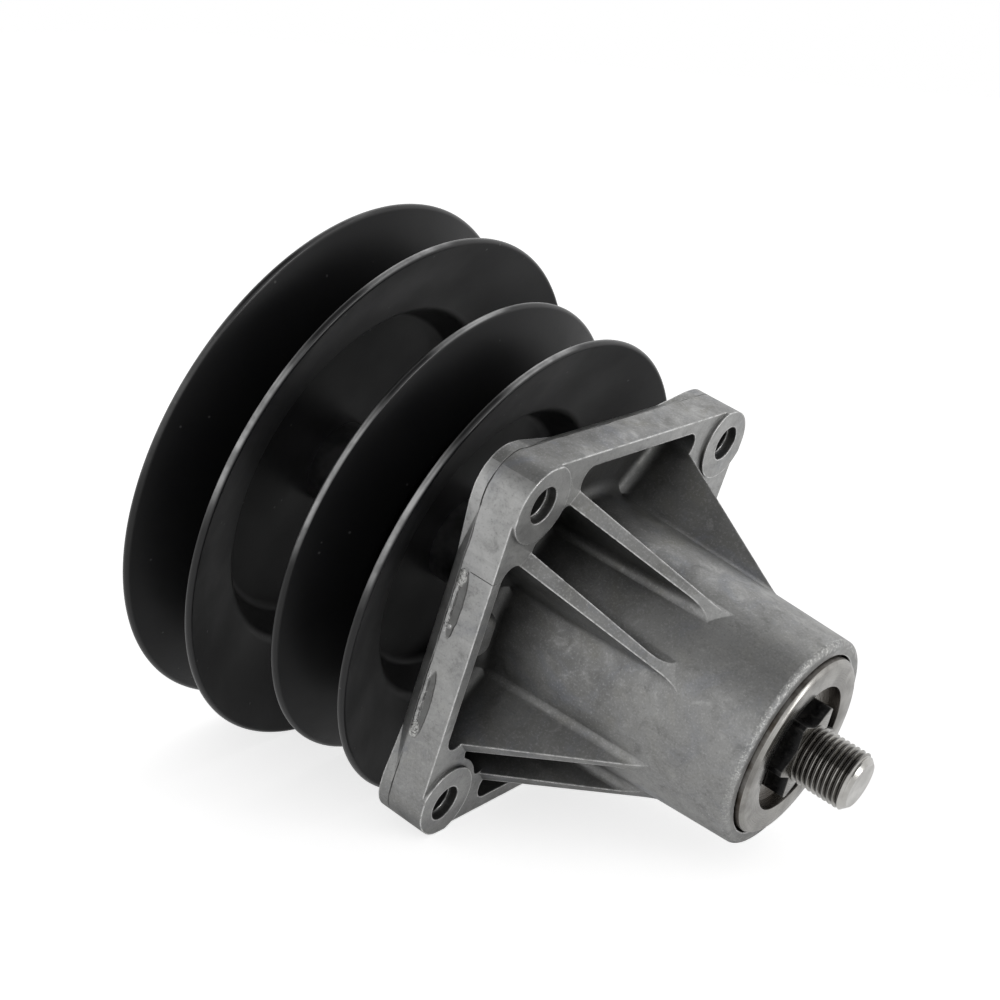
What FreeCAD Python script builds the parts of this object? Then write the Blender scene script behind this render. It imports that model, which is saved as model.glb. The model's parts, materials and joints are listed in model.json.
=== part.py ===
import FreeCAD, Part
import math
import os

# Mower deck spindle, in millimetres.
# +Z runs up the spindle axis, and Z = 0 is the plane of the four deck pads.

# Housing flange
flange_corner = 11.0
flange_back = 14.4
rim_wall = 3.5
rim_drop = 1.0
pocket_floor_wall = 3.4
pocket_corner = 4.0
pocket_root = 3.5
edge_bevel_depth = 2.0
edge_bevel_length = 50.0
edge_bevel_runout = 15.0

# Deck bolts
bolt_spacing = 88.0
bolt_hole_radius = 4.2
bolt_entry_radius = 5.0
bolt_entry_depth = 2.4
bolt_edge = 9.75
bolt_to_pocket = 17.0
bolt_to_crest = 13.2
pad_radius = 10.6
boss_radius = 12.6
boss_corner = 2.5
boss_root = 1.8

# Hub and ribs
hub_reach = 65.0
hub_end_wall = 3.54
hub_draft = 2.4
hub_edge = 1.3
boss_top_radius = 30.0
bearing_lip = 1.0
rib_pair_spacing = 20.0
rib_width = 4.4
rib_draft = 1.6
rib_slope = 63.2
rib_foot = 2.8
rib_sink = 0.05
gate_pad_width = 12.6
gate_pad_depth = 10.0
gate_pad_height = 8.0
gate_pad_middle = -4.5
gate_pad_corner = 4.0
gate_pad_edge = 3.0

# Ball bearings
bearing_bore_radius = 10.0
bearing_outer_radius = 23.5
bearing_width = 14.0
ball_radius = 3.969
ball_count = 8
race_radius = 4.13
inner_ring_wall = 3.6
outer_ring_wall = 3.6
seal_thickness = 1.0
seal_seat = 0.7
cage_wall = 2.4
cage_side = 0.8
bearing_ledge = 3.5
bearing_inset = 0.4
counterbore_depth = 6.1
upper_bearing_base = 1.6

# Spindle shaft
ring_radius = 24.96
ring_proud = 2.1
ring_chamfer = 1.0
ring_gap = 0.5
ring_side_gap = 0.7
shaft_ledge = 3.0
recess_radius = 17.7
recess_depth = 3.6
star_points = 6
star_tip_radius = 12.8
star_valley_radius = 8.2
star_tip_width = 1.5
star_proud = 2.2
star_turn = 50.0
stub_radius = 7.95
stub_length = 15.4
stub_chamfer = 1.7
flats_width = 17.0
flats_lead = 6.0
top_thread_radius = 7.95
top_thread_over = 3.0
top_chamfer = 1.0

# Pulleys
sheet = 2.2
sheet_bend = 4.0
sheet_edge = 0.8
groove_half_width = 10.5
groove_half_angle = 21.5
upper_rim_radius = 77.2
upper_groove_depth = 24.2
upper_pulley_middle = 83.5
lower_rim_radius = 68.6
lower_groove_depth = 23.8
lower_pulley_middle = 37.8
dish_step = 5.4
web_offset = 8.7

# Stack on the shaft
spacer_wall = 2.6
washer_radius = 17.0
washer_thickness = 2.5
nut_sides = 6
nut_across_flats = 24.0
nut_height = 13.0
nut_chamfer = 1.2

# Clearances
fit_gap = 0.02
ball_gap = 0.02
pocket_gap = 0.12
lip_gap = 0.4
nest_gap = 0.05
washer_gap = 0.3
same_point = 0.001

# Heights worked out from the sizes above
hub_end = -hub_reach
counterbore_floor = hub_end + counterbore_depth
lower_bearing_base = counterbore_floor + bearing_inset
lower_bearing_top = lower_bearing_base + bearing_width
upper_bearing_top = upper_bearing_base + bearing_width
boss_top = upper_bearing_top + bearing_lip
pocket_floor = flange_back - pocket_floor_wall
ring_front = hub_end - ring_proud
ring_back = counterbore_floor - ring_gap
recess_floor = ring_front + recess_depth
star_end = ring_front - star_proud
stub_end = star_end - stub_length
lower_web_bottom = lower_pulley_middle + web_offset - sheet / 2
lower_web_top = lower_web_bottom + 2 * sheet
upper_web_bottom = upper_pulley_middle + web_offset - sheet / 2
upper_web_top = upper_web_bottom + 2 * sheet
nut_base = upper_web_top + washer_thickness
nut_top = nut_base + nut_height
shaft_top = nut_top + top_thread_over
journal_top = upper_web_top - washer_gap

# Radii and slopes shared by several pieces
ball_pitch_radius = (bearing_bore_radius + bearing_outer_radius) / 2
inner_land_radius = bearing_bore_radius + inner_ring_wall
outer_land_radius = bearing_outer_radius - outer_ring_wall
bearing_shoulder_radius = bearing_outer_radius - bearing_ledge
counterbore_radius = ring_radius + ring_side_gap
hub_end_radius = counterbore_radius + hub_end_wall
shoulder_radius = bearing_bore_radius + shaft_ledge
journal_radius = bearing_bore_radius - fit_gap
tube_radius = bearing_bore_radius + spacer_wall
hub_slope = math.tan(math.radians(hub_draft))
crest_slope = math.tan(math.radians(rib_slope))
rib_taper = math.tan(math.radians(rib_draft))
cone_slope = math.tan(math.radians(groove_half_angle))
cone_thickness = sheet / math.cos(math.radians(groove_half_angle))
rib_offset = rib_pair_spacing / 2
bolt_radius = bolt_spacing / math.sqrt(2)
flange_side = bolt_spacing + 2 * bolt_edge
pocket_half_width = bolt_spacing / 2 - bolt_to_pocket
rib_start = bolt_radius - bolt_to_crest
corner_angles = [45.0, 135.0, 225.0, 315.0]
side_angles = [0.0, 90.0, 180.0, 270.0]

up = FreeCAD.Vector(0, 0, 1)
centre = FreeCAD.Vector(0, 0, 0)


def hub_radius(z):
    return hub_end_radius + (z - hub_end) * hub_slope


def turned(outline):
    """Solid of revolution about Z from (radius, height) corners."""
    corners = [FreeCAD.Vector(r, 0, z) for r, z in outline]
    face = Part.Face(Part.makePolygon(corners + corners[:1]))
    return face.revolve(centre, up, 360)


def rod(radius, low, high, x=0.0, y=0.0):
    return Part.makeCylinder(radius, high - low, FreeCAD.Vector(x, y, low))


def tube(inner, outer, low, high):
    return rod(outer, low, high).cut(rod(inner, low, high))


def prism(corners, low, high):
    points = [FreeCAD.Vector(x, y, low) for x, y in corners]
    face = Part.Face(Part.makePolygon(points + points[:1]))
    return face.extrude(up * (high - low))


def around(shape, angle):
    return shape.rotated(centre, up, angle)


def upright_edges(shape):
    found = []
    for edge in shape.Edges:
        first, last = edge.Vertexes[0].Point, edge.Vertexes[-1].Point
        along = last - first
        if along.Length > same_point and math.hypot(along.x, along.y) < same_point:
            found.append(edge)
    return found


def floor_edges(shape, height):
    return [edge for edge in shape.Edges if all(abs(end.Z - height) < same_point for end in edge.Vertexes)]


def rounded_square(side, corner, low, high):
    block = Part.makeBox(side, side, high - low, FreeCAD.Vector(-side / 2, -side / 2, low))
    return block.makeFillet(corner, upright_edges(block))


def rib_outline(z):
    """Plan of one rib at a height: sides that flare into the hub, drafted past the rim."""
    half = rib_width / 2 + min(z - rim_drop, 0) * rib_taper
    hub = hub_radius(z) - rib_sink
    foot_centre = math.sqrt((hub + rib_foot) ** 2 - (rib_offset + half + rib_foot) ** 2)
    near_centre = math.sqrt((hub + rib_foot) ** 2 - (rib_offset - half - rib_foot) ** 2)
    far = bolt_radius
    buried = bearing_shoulder_radius

    def at(s, v):
        return FreeCAD.Vector(s, v, z)

    def foot(s, v, side):
        ball = at(s, v)
        tangent = ball * (hub / (hub + rib_foot))
        tangent.z = z
        start = at(s, v - side * rib_foot)
        middle = (start + tangent) * 0.5 - ball
        middle.multiply(rib_foot / middle.Length)
        return start, ball + middle, tangent

    outside = foot(foot_centre, rib_offset + half + rib_foot, 1)
    inside = foot(near_centre, rib_offset - half - rib_foot, -1)
    root_out = at(buried, outside[2].y)
    root_in = at(buried, inside[2].y)
    edges = [
        Part.makeLine(at(far, rib_offset + half), outside[0]),
        Part.Arc(*outside).toShape(),
        Part.makeLine(outside[2], root_out),
        Part.makeLine(root_out, root_in),
        Part.makeLine(root_in, inside[2]),
        Part.Arc(inside[2], inside[1], inside[0]).toShape(),
        Part.makeLine(inside[0], at(far, rib_offset - half)),
        Part.makeLine(at(far, rib_offset - half), at(far, rib_offset + half)),
    ]
    return Part.Wire(edges)


def rib():
    """One gusset along +X, set to the +Y side, under its sloping crest."""
    crest_end = (bearing_shoulder_radius - rib_start) * crest_slope
    plans = [rib_outline(z) for z in (crest_end, rim_drop, pocket_floor)]
    body = Part.makeLoft(plans, True, True)
    depth = rib_start * crest_slope
    crest = [
        FreeCAD.Vector(rib_start, 0, 0),
        FreeCAD.Vector(bolt_radius, 0, (bolt_radius - rib_start) * crest_slope),
        FreeCAD.Vector(bolt_radius, 0, -depth),
        FreeCAD.Vector(0, 0, -depth),
    ]
    below = Part.Face(Part.makePolygon(crest + crest[:1])).extrude(FreeCAD.Vector(0, bolt_radius, 0))
    return body.cut(below)


def side_pocket(wall):
    """Space on the +X side between the rim, two ribs and the hub."""
    gap = math.sqrt(2) * (rib_offset + rib_width / 2)
    half = pocket_half_width
    tool = prism([
        (gap, 0),
        (gap + half, -half),
        (wall, -half),
        (wall, half),
        (gap + half, half),
    ], rim_drop, pocket_floor)
    corners = [edge for edge in upright_edges(tool) if edge.CenterOfMass.x > gap + same_point]
    tool = tool.makeFillet(pocket_corner, corners)
    return tool.makeFillet(pocket_root, floor_edges(tool, pocket_floor))


def corner_pocket():
    """Space between the two ribs of the corner at 45 degrees, the boss and the hub."""
    half = rib_offset - rib_width / 2
    tool = prism([(0, -half), (bolt_radius, -half), (bolt_radius, half), (0, half)], rim_drop, pocket_floor)
    tool = tool.cut(rod(boss_radius, rim_drop, pocket_floor, bolt_radius))
    tool = max(tool.Solids, key=lambda solid: solid.Volume)
    corners = [edge for edge in upright_edges(tool) if edge.CenterOfMass.x > bolt_radius - boss_radius]
    tool = tool.makeFillet(boss_corner, corners)
    tool = tool.makeFillet(boss_root, floor_edges(tool, pocket_floor))
    return around(tool, corner_angles[0])


def edge_bevel_tool():
    """Wedge that takes the back edge off the +X side down to the parting line."""
    outer = flange_side / 2
    half = edge_bevel_length / 2
    long_half = half + edge_bevel_runout

    def at(depth, y, z):
        return FreeCAD.Vector(outer - depth, y, z)

    a, b = at(edge_bevel_depth, -half, flange_back), at(edge_bevel_depth, half, flange_back)
    c, d = at(0, long_half, flange_back), at(0, -long_half, flange_back)
    e, f = at(0, long_half, pocket_floor), at(0, -long_half, pocket_floor)
    loops = [[a, b, c, d], [d, c, e, f], [a, f, e, b], [b, e, c], [a, d, f]]
    faces = [Part.Face(Part.makePolygon(loop + loop[:1])) for loop in loops]
    return Part.Solid(Part.Shell(faces))


def gate_pad(wall):
    """Rounded pad left by the gate on the inside of the -X wall."""
    low = pocket_floor - gate_pad_height
    pad = Part.makeBox(
        gate_pad_depth, gate_pad_width, gate_pad_height,
        FreeCAD.Vector(-wall, gate_pad_middle - gate_pad_width / 2, low))
    inner = gate_pad_depth - wall
    corners = [edge for edge in upright_edges(pad) if abs(edge.CenterOfMass.x - inner) < same_point]
    pad = pad.makeFillet(gate_pad_corner, corners)
    rim = [edge for edge in floor_edges(pad, low) if edge.CenterOfMass.x > same_point - wall]
    return pad.makeFillet(gate_pad_edge, rim)


def spindle_housing():
    inner_side = flange_side - 2 * rim_wall
    outline = rounded_square(flange_side, flange_corner, 0, flange_back)
    flange = rounded_square(flange_side, flange_corner, rim_drop, flange_back)
    skirt = hub_radius(pocket_floor) + 2 * pocket_root
    hub = turned([
        (0, hub_end),
        (hub_end_radius, hub_end),
        (hub_radius(pocket_floor), pocket_floor),
        (skirt, pocket_floor),
        (skirt, flange_back),
        (boss_top_radius, flange_back),
        (boss_top_radius, boss_top),
        (0, boss_top),
    ])
    foot = [edge for edge in floor_edges(hub, pocket_floor) if edge.BoundBox.XMax < skirt - same_point]
    hub = hub.makeFillet(pocket_root, foot)
    hub = hub.makeFillet(hub_edge, floor_edges(hub, hub_end))
    ribs = []
    for angle in corner_angles:
        one = rib()
        ribs.append(around(one, angle))
        ribs.append(around(one.mirror(centre, FreeCAD.Vector(0, 1, 0)), angle))
    pads = []
    for angle in corner_angles:
        x = bolt_radius * math.cos(math.radians(angle))
        y = bolt_radius * math.sin(math.radians(angle))
        pads.append(rod(pad_radius, 0, pocket_floor, x, y).common(outline))

    pockets = []
    for tool in (side_pocket(inner_side / 2), corner_pocket()):
        pockets += [around(tool, angle) for angle in side_angles]
    casting = flange.cut(pockets)
    casting = casting.fuse([hub, gate_pad(inner_side / 2)] + ribs + pads).removeSplitter()
    bevel = edge_bevel_tool()
    casting = casting.cut([around(bevel, angle) for angle in side_angles])

    bore = turned([
        (0, hub_end),
        (counterbore_radius, hub_end),
        (counterbore_radius, counterbore_floor),
        (bearing_outer_radius, counterbore_floor),
        (bearing_outer_radius, lower_bearing_top),
        (bearing_shoulder_radius, lower_bearing_top),
        (bearing_shoulder_radius, upper_bearing_base),
        (bearing_outer_radius, upper_bearing_base),
        (bearing_outer_radius, boss_top),
        (0, boss_top),
    ])
    holes = []
    for angle in corner_angles:
        x = bolt_radius * math.cos(math.radians(angle))
        y = bolt_radius * math.sin(math.radians(angle))
        holes.append(rod(bolt_hole_radius, 0, flange_back, x, y))
        holes.append(rod(bolt_entry_radius, 0, bolt_entry_depth, x, y))
    return casting.cut([bore] + holes)


def star(low, high):
    """Six truncated points between the tip and valley radii."""
    half_tip = math.degrees(math.asin(star_tip_width / 2 / star_tip_radius))
    step = 360.0 / star_points
    corners = []
    for point in range(star_points):
        middle = star_turn + point * step
        for radius, angle in [
            (star_tip_radius, middle - half_tip),
            (star_tip_radius, middle + half_tip),
            (star_valley_radius, middle + step / 2),
        ]:
            bearing = math.radians(angle)
            corners.append((radius * math.cos(bearing), radius * math.sin(bearing)))
    return prism(corners, low, high)


def flats(radius, width, low, high):
    """Round bar with two flats, or the hole for one."""
    slab = Part.makeBox(width, 2 * radius, high - low, FreeCAD.Vector(-width / 2, -radius, low))
    return rod(radius, low, high).common(slab)


def spindle_shaft():
    flats_base = lower_web_bottom - flats_lead
    body = turned([
        (0, stub_end),
        (stub_radius - stub_chamfer, stub_end),
        (stub_radius, stub_end + stub_chamfer),
        (stub_radius, recess_floor),
        (recess_radius, recess_floor),
        (recess_radius, ring_front),
        (ring_radius - ring_chamfer, ring_front),
        (ring_radius, ring_front + ring_chamfer),
        (ring_radius, ring_back),
        (shoulder_radius, ring_back),
        (shoulder_radius, lower_bearing_base),
        (journal_radius, lower_bearing_base),
        (journal_radius, flats_base),
        (0, flats_base),
    ])
    drive = flats(journal_radius, flats_width, flats_base, journal_top)
    thread = turned([
        (0, journal_top),
        (top_thread_radius, journal_top),
        (top_thread_radius, shaft_top - top_chamfer),
        (top_thread_radius - top_chamfer, shaft_top),
        (0, shaft_top),
    ])
    return body.fuse([star(star_end, recess_floor), drive, thread])


def ball_ring(height):
    balls = []
    for number in range(ball_count):
        angle = math.radians(number * 360.0 / ball_count)
        place = FreeCAD.Vector(
            ball_pitch_radius * math.cos(angle), ball_pitch_radius * math.sin(angle), height)
        balls.append(place)
    return balls


def bearing(name, base):
    """Sealed deep groove ball bearing: rings, balls, cage and two seals."""
    top = base + bearing_width
    middle = base + bearing_width / 2
    outer_groove = ball_pitch_radius + ball_radius + ball_gap - race_radius
    inner_groove = ball_pitch_radius - ball_radius - ball_gap + race_radius
    places = ball_ring(middle)
    seat_radius = outer_land_radius + seal_seat
    outer_ring = turned([
        (outer_land_radius, base + seal_thickness),
        (seat_radius, base + seal_thickness),
        (seat_radius, base),
        (bearing_outer_radius - fit_gap, base),
        (bearing_outer_radius - fit_gap, top),
        (seat_radius, top),
        (seat_radius, top - seal_thickness),
        (outer_land_radius, top - seal_thickness),
    ])
    outer_ring = outer_ring.cut(Part.makeTorus(outer_groove, race_radius, FreeCAD.Vector(0, 0, middle)))
    inner_ring = tube(bearing_bore_radius, inner_land_radius, base, top)
    inner_ring = inner_ring.cut(Part.makeTorus(inner_groove, race_radius, FreeCAD.Vector(0, 0, middle)))
    balls = [Part.makeSphere(ball_radius, place) for place in places]
    cage_half = ball_radius + pocket_gap + cage_side
    cage = tube(
        ball_pitch_radius - cage_wall / 2, ball_pitch_radius + cage_wall / 2,
        middle - cage_half, middle + cage_half)
    axle = FreeCAD.Vector(0, 0, middle)
    pockets = []
    for place in places:
        pockets.append(Part.makeCylinder(ball_radius + pocket_gap, bearing_outer_radius, axle, place - axle))
    cage = cage.cut(pockets)
    lip = inner_land_radius + lip_gap
    rim = seat_radius - fit_gap
    return {
        name + "_outer_ring": outer_ring,
        name + "_inner_ring": inner_ring,
        name + "_balls": Part.makeCompound(balls),
        name + "_cage": cage,
        name + "_outside_seal": tube(lip, rim, base, base + seal_thickness),
        name + "_inside_seal": tube(lip, rim, top - seal_thickness, top),
    }


def sheet_face(points, thickness, bend, edge):
    """Section of a bent sheet about its middle line, with a rounded first edge."""
    runs = [(b - a).normalize() for a, b in zip(points, points[1:])]
    normals = [FreeCAD.Vector(-run.z, 0, run.x) for run in runs]

    def side(offset):
        edges = []
        here = points[0] + normals[0] * offset
        for number in range(1, len(points) - 1):
            before, after = runs[number - 1], runs[number]
            turn = math.acos(before.dot(after))
            hand = 1 if before.cross(after).y < 0 else -1
            reach = bend * math.tan(turn / 2)
            start = points[number] - before * reach
            pivot = start + normals[number - 1] * (hand * bend)
            corner = (points[number] - pivot).normalize()
            arc_start = start + normals[number - 1] * offset
            arc_middle = pivot + corner * (bend - hand * offset)
            arc_end = points[number] + after * reach + normals[number] * offset
            edges.append(Part.makeLine(here, arc_start))
            edges.append(Part.Arc(arc_start, arc_middle, arc_end).toShape())
            here = arc_end
        last = points[-1] + normals[-1] * offset
        edges.append(Part.makeLine(here, last))
        return edges, last

    half = thickness / 2
    left, left_end = side(half)
    right, right_end = side(-half)
    land = []
    nose = []
    for hand in (1, -1):
        pivot = points[0] + normals[0] * (hand * (half - edge))
        outward = (normals[0] * hand - runs[0]).normalize()
        land.append(pivot - runs[0] * edge)
        nose.append(Part.Arc(pivot + normals[0] * (hand * edge), pivot + outward * edge, land[-1]).toShape())
    edges = left + [Part.makeLine(left_end, right_end)] + right + nose + [Part.makeLine(*land)]
    return Part.Face(Part.Wire(Part.__sortEdges__(edges)))


def crossing(p, slope_p, q, slope_q):
    """Point where two lines of the (radius, height) plane meet."""
    radius = (q[1] - p[1] + slope_p * p[0] - slope_q * q[0]) / (slope_p - slope_q)
    return radius, p[1] + slope_p * (radius - p[0])


def pulley(rim_radius, groove_depth, middle):
    """The two pressed halves of one V pulley, nested at the dished web."""
    root_radius = rim_radius - groove_depth
    dish_radius = root_radius - dish_step
    lean = math.radians(groove_half_angle)
    rim = rim_radius - sheet_edge - (sheet / 2 - sheet_edge) * math.sin(lean)
    low_rim = middle - groove_half_width - cone_thickness / 2
    high_rim = middle + groove_half_width + cone_thickness / 2
    web = middle + web_offset
    low_root = low_rim + (rim - root_radius) * cone_slope
    wall_slope = (web - low_root) / (dish_radius - root_radius)
    wall_angle = math.atan(-wall_slope)
    shift = (sheet + nest_gap) / math.sin(wall_angle)
    wall_point = (root_radius + shift, low_root)
    root_high = crossing((rim, high_rim), cone_slope, wall_point, wall_slope)
    dish_high = dish_radius + shift + sheet / wall_slope
    bottom = [(rim, low_rim), (root_radius, low_root), (dish_radius, web), (0, web)]
    top = [(rim, high_rim), root_high, (dish_high, web + sheet), (0, web + sheet)]
    halves = []
    for outline in (bottom, top):
        points = [FreeCAD.Vector(r, 0, z) for r, z in outline]
        body = sheet_face(points, sheet, sheet_bend, sheet_edge).revolve(centre, up, 360)
        hole = flats(
            bearing_bore_radius + fit_gap, flats_width + 2 * fit_gap, web - sheet, web + 2 * sheet)
        halves.append(body.cut(hole))
    return halves


def top_nut():
    half = nut_across_flats / 2
    corner = half / math.cos(math.pi / nut_sides)
    points = []
    for side in range(nut_sides):
        angle = 2 * math.pi * side / nut_sides
        points.append((corner * math.cos(angle), corner * math.sin(angle)))
    hexagon = prism(points, nut_base, nut_top)
    rounding = turned([
        (0, nut_base),
        (half, nut_base),
        (half + nut_chamfer, nut_base + nut_chamfer),
        (corner, nut_base + nut_chamfer),
        (corner, nut_top - nut_chamfer),
        (half + nut_chamfer, nut_top - nut_chamfer),
        (half, nut_top),
        (0, nut_top),
    ])
    return hexagon.common(rounding).cut(rod(top_thread_radius + fit_gap, nut_base, nut_top))


nodes = {
    "spindle_housing": spindle_housing(),
    "spindle_shaft": spindle_shaft(),
    "bearing_spacer": tube(bearing_bore_radius, tube_radius, lower_bearing_top, upper_bearing_base),
    "pulley_sleeve": tube(bearing_bore_radius, tube_radius, upper_bearing_top, lower_web_bottom),
    "pulley_spacer": tube(bearing_bore_radius, tube_radius, lower_web_top, upper_web_bottom),
    "top_washer": tube(top_thread_radius + washer_gap, washer_radius, upper_web_top, nut_base),
    "top_nut": top_nut(),
}
nodes.update(bearing("lower_bearing", lower_bearing_base))
nodes.update(bearing("upper_bearing", upper_bearing_base))
pulleys = {
    "lower_pulley": (lower_rim_radius, lower_groove_depth, lower_pulley_middle),
    "upper_pulley": (upper_rim_radius, upper_groove_depth, upper_pulley_middle),
}
for name, sizes in pulleys.items():
    bottom_half, top_half = pulley(*sizes)
    nodes[name + "_bottom_half"] = bottom_half
    nodes[name + "_top_half"] = top_half

os.makedirs("parts", exist_ok=True)
for name, shape in nodes.items():
    shape.exportStep("parts/" + name + ".step")
    print(name, len(shape.Solids), shape.isValid(), round(shape.Volume, 1))
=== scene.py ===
import bpy
import json
import math
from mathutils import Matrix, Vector


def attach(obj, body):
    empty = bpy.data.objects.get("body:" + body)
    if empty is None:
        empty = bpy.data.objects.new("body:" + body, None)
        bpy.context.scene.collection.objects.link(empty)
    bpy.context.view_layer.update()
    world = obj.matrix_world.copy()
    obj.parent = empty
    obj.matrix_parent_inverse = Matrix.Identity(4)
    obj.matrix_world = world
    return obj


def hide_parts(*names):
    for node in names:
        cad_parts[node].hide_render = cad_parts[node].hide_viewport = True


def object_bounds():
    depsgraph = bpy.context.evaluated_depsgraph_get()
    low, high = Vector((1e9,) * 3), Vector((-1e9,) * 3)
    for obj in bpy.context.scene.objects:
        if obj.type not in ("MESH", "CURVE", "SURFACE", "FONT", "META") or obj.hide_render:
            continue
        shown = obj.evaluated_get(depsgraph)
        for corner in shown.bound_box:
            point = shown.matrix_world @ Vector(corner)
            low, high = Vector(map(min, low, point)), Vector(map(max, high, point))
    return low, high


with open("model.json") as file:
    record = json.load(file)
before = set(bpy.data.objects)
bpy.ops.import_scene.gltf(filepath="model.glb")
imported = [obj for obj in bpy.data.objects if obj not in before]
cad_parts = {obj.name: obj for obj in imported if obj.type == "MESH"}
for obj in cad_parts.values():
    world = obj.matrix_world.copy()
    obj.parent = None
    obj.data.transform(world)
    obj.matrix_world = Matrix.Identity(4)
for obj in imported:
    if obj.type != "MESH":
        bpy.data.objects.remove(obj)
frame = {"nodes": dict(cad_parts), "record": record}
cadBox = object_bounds()
cad = frame["nodes"]
scene = bpy.context.scene
mm = 0.001
weld = 0.001 * mm  # points closer than this become one
near = 0.01 * mm  # reach of a pick by place
print("frame loaded,", len(cad), "nodes")


# modelling helpers

def deselect():
    active = bpy.context.view_layer.objects.active
    if active and active.mode != "OBJECT":
        bpy.ops.object.mode_set(mode="OBJECT")
    bpy.ops.object.select_all(action="DESELECT")


def activate(piece):
    deselect()
    piece.select_set(True)
    bpy.context.view_layer.objects.active = piece


def edit(piece):
    activate(piece)
    bpy.ops.object.mode_set(mode="EDIT")


def pick(piece, place):  # select the points at a place
    bpy.ops.mesh.select_mode(type="VERT")
    bpy.ops.mesh.select_all(action="DESELECT")
    bpy.ops.object.mode_set(mode="OBJECT")
    for point in piece.data.vertices:
        point.select = (point.co - place).length < near
    bpy.ops.object.mode_set(mode="EDIT")


def drawLine(name, points):  # chain of edges through points in mm
    deselect()
    bpy.ops.mesh.primitive_plane_add(size=mm)
    piece = bpy.context.object
    piece.name = piece.data.name = name
    bpy.ops.object.mode_set(mode="EDIT")
    bpy.ops.mesh.merge(type="CENTER")
    bpy.ops.transform.translate(value=[v * mm for v in points[0]])
    for here, there in zip(points, points[1:]):
        step = [(b - a) * mm for a, b in zip(here, there)]
        bpy.ops.mesh.extrude_region_move(TRANSFORM_OT_translate={"value": step})
    return piece


def profile(name, corners):  # (radius, height) corners as a line in the XZ plane
    return drawLine(name, [(r, 0, z) for r, z in corners])


def cleanUp():
    bpy.ops.mesh.select_all(action="SELECT")
    bpy.ops.mesh.remove_doubles(threshold=weld)
    bpy.ops.mesh.normals_make_consistent(inside=False)


def spinRound(steps):
    bpy.ops.mesh.select_all(action="SELECT")
    bpy.ops.mesh.spin(steps=steps, angle=2 * math.pi, center=(0, 0, 0), axis=(0, 0, 1))
    cleanUp()


def useModifier(piece, kind, **settings):
    activate(piece)
    modifier = piece.modifiers.new(kind.lower(), kind)
    for key, value in settings.items():
        setattr(modifier, key, value)
    bpy.ops.object.modifier_apply(modifier=modifier.name)


def roundEdges(piece, width, segments, degrees):  # edges that turn by more than the angle
    useModifier(piece, "BEVEL", width=width * mm, segments=segments, limit_method="ANGLE",
                angle_limit=math.radians(degrees))


def smooth(piece, degrees):
    activate(piece)
    bpy.ops.object.shade_smooth_by_angle(angle=math.radians(degrees))


def joinInto(piece, others):
    activate(piece)
    for other in others:
        other.select_set(True)
    bpy.ops.object.join()


# pulleys: each half is one spun sheet

pulleySheet = {  # mm and degrees
    "sheet": 2.2, "bend": 4.0, "edge": 1.0, "halfWidth": 10.5, "halfAngle": 21.5, "webOffset": 8.7,
    "nestGap": 0.05, "hole": 10.02, "steps": 256, "bendSegments": 8, "edgeSegments": 4, "edgeAngle": 50,
    "smoothAngle": 40,
}
pulleySizes = {
    "lower_pulley": {"rim": 68.6, "root": 44.8, "dish": 39.4, "middle": 37.8},
    "upper_pulley": {"rim": 77.2, "root": 53.0, "dish": 47.6, "middle": 83.5},
}


def pulleyLines(size):  # middle lines of the two sheets
    s = pulleySheet
    lean = math.radians(s["halfAngle"])
    slope = math.tan(lean)
    rim = size["rim"] - s["edge"] - (s["sheet"] / 2 - s["edge"]) * math.sin(lean)
    reach = s["halfWidth"] + s["sheet"] / math.cos(lean) / 2
    lowRim, highRim = size["middle"] - reach, size["middle"] + reach
    web = size["middle"] + s["webOffset"]
    topWeb = web + s["sheet"]
    lowRoot = lowRim + (rim - size["root"]) * slope
    wall = (web - lowRoot) / (size["dish"] - size["root"])
    shift = (s["sheet"] + s["nestGap"]) / math.sin(math.atan(-wall))
    start = size["root"] + shift
    rootX = (lowRoot - highRim + slope * rim - wall * start) / (slope - wall)
    rootZ = highRim + slope * (rootX - rim)
    topDish = size["dish"] + shift + s["sheet"] / wall
    bottom = [(rim, lowRim), (size["root"], lowRoot), (size["dish"], web), (s["hole"], web)]
    top = [(rim, highRim), (rootX, rootZ), (topDish, topWeb), (s["hole"], topWeb)]
    return bottom, top


def pulleyHalf(name, line):
    s = pulleySheet
    line = [Vector(point) for point in line]
    line[0] += (line[0] - line[1]).normalized() * s["edge"]  # the rounded edge lies past the line's end
    piece = profile(name, line)
    for before, here, after in zip(line, line[1:], line[2:]):  # round the two bends
        offset = s["bend"] * math.tan((here - before).angle(after - here) / 2) * mm
        pick(piece, Vector((here[0], 0, here[1])) * mm)
        bpy.ops.mesh.bevel(affect="VERTICES", offset=offset, segments=s["bendSegments"])
    spinRound(s["steps"])
    useModifier(piece, "SOLIDIFY", thickness=s["sheet"] * mm, offset=0, use_even_offset=True)
    roundEdges(piece, s["edge"], s["edgeSegments"], s["edgeAngle"])
    edit(piece)
    cleanUp()
    smooth(piece, s["smoothAngle"])
    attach(piece, "spindle")
    return piece


pulleyHalves = []
for label, size in pulleySizes.items():
    for side, line in zip(("bottom", "top"), pulleyLines(size)):
        half = pulleyHalf(label + "_" + side + "_sheet", line)
        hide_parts(label + "_" + side + "_half")
        pulleyHalves.append(half)
print("pulley sheets spun:", len(pulleyHalves))


# shaft: turned body, star, threaded ends

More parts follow.
